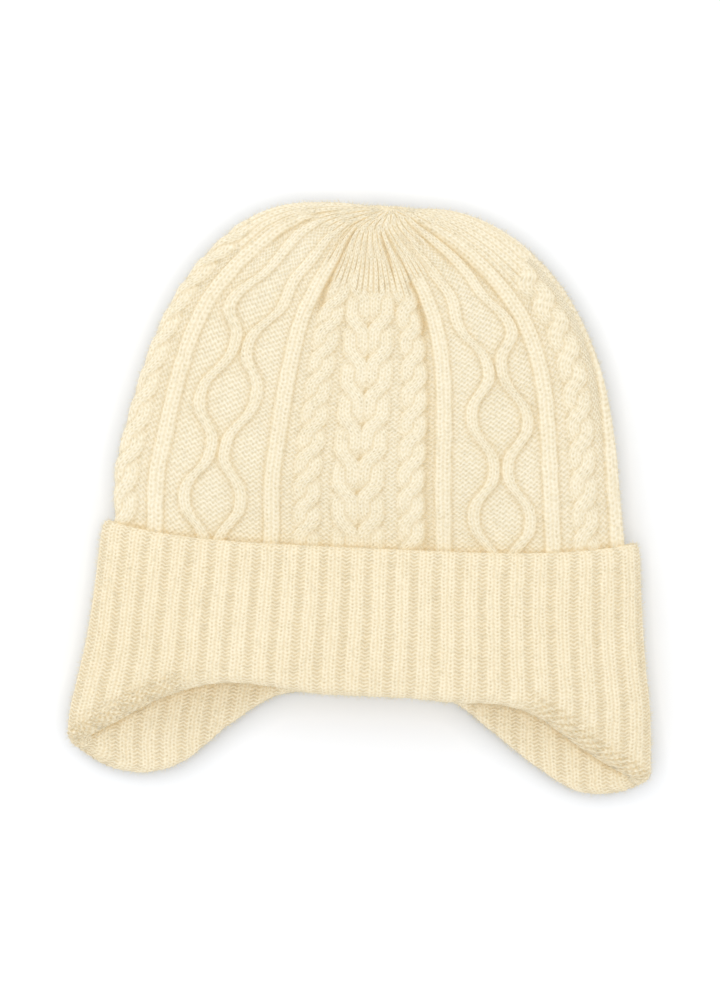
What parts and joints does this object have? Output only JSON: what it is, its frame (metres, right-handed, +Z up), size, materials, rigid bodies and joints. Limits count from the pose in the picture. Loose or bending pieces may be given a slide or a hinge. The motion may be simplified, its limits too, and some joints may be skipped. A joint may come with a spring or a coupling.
{
  "type": "earflap hat",
  "caption": "Cable-knit wool hat with a gathered crown, a turned-up ribbed cuff and rounded ear flaps knitted in below the hem, lying flat.",
  "frame": {"origin": "middle of the footprint, on the surface that the hat lies on", "axes": "+X across the front, to the right as one looks down on it; +Y up the hat, from the hem to the gathered top; +Z up, away from the surface, through the front"},
  "size_m": [0.24, 0.2374, 0.0292],
  "materials": {
    "cable_knit": "soft cream wool, cable knit, matt with a fine fuzz",
    "rib_knit": "soft cream wool, wide knit ribs with narrow purl valleys, matt with a fine fuzz"
  },
  "bodies": {
    "root": {"crown": "cable_knit", "cuff": "rib_knit", "ear_flap_left": "rib_knit", "ear_flap_right": "rib_knit"}
  },
  "joints": []
}
